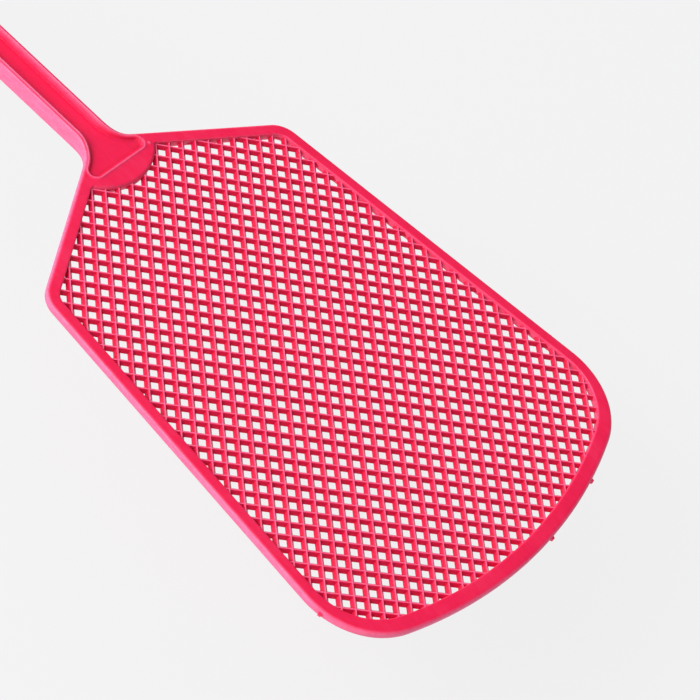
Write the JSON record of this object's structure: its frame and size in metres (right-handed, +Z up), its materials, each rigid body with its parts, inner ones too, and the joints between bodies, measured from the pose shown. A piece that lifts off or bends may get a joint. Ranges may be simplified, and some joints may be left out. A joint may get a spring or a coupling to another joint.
{
  "type": "fly swatter",
  "caption": "One-piece moulded fly swatter: channelled handle with a hanging hole, springy neck and a rimmed blade of fine square mesh.",
  "frame": {"origin": "under the middle of the whole length and width, on the plane that the handle lies on", "axes": "+X along the handle towards the blade's tip, +Y to the left seen from the grip, +Z up, across the moulding's thickness"},
  "size_m": [0.4505, 0.115, 0.0052],
  "materials": {
    "pink_plastic": "satin"
  },
  "bodies": {
    "handle": {"hang_ring": "pink_plastic", "grip_end_wall": "pink_plastic", "grip_left_wall": "pink_plastic", "grip_right_wall": "pink_plastic", "grip_web": "pink_plastic", "shaft_left_wall": "pink_plastic", "shaft_right_wall": "pink_plastic", "shaft_web": "pink_plastic", "neck_left_wall": "pink_plastic", "neck_right_wall": "pink_plastic", "neck_floor": "pink_plastic"},
    "blade": {"neck_pad": "pink_plastic", "rim_left_shoulder": "pink_plastic", "rim_right_shoulder": "pink_plastic", "rim_left_side": "pink_plastic", "rim_right_side": "pink_plastic", "rim_left_corner": "pink_plastic", "rim_right_corner": "pink_plastic", "rim_tip": "pink_plastic", "gate_stubs": "pink_plastic", "blade_mesh": "pink_plastic"}
  },
  "joints": [
    {"name": "neck_flex", "type": "hinge", "parent": "handle", "child": "blade", "pos_m": [0.083, 0, 0.0026], "axis": [0, 1, 0], "range_deg": [-15, 15], "stiffness_Nm_per_rad": 1.1, "deforming": ["neck_floor", "neck_left_wall", "neck_right_wall"]}
  ]
}
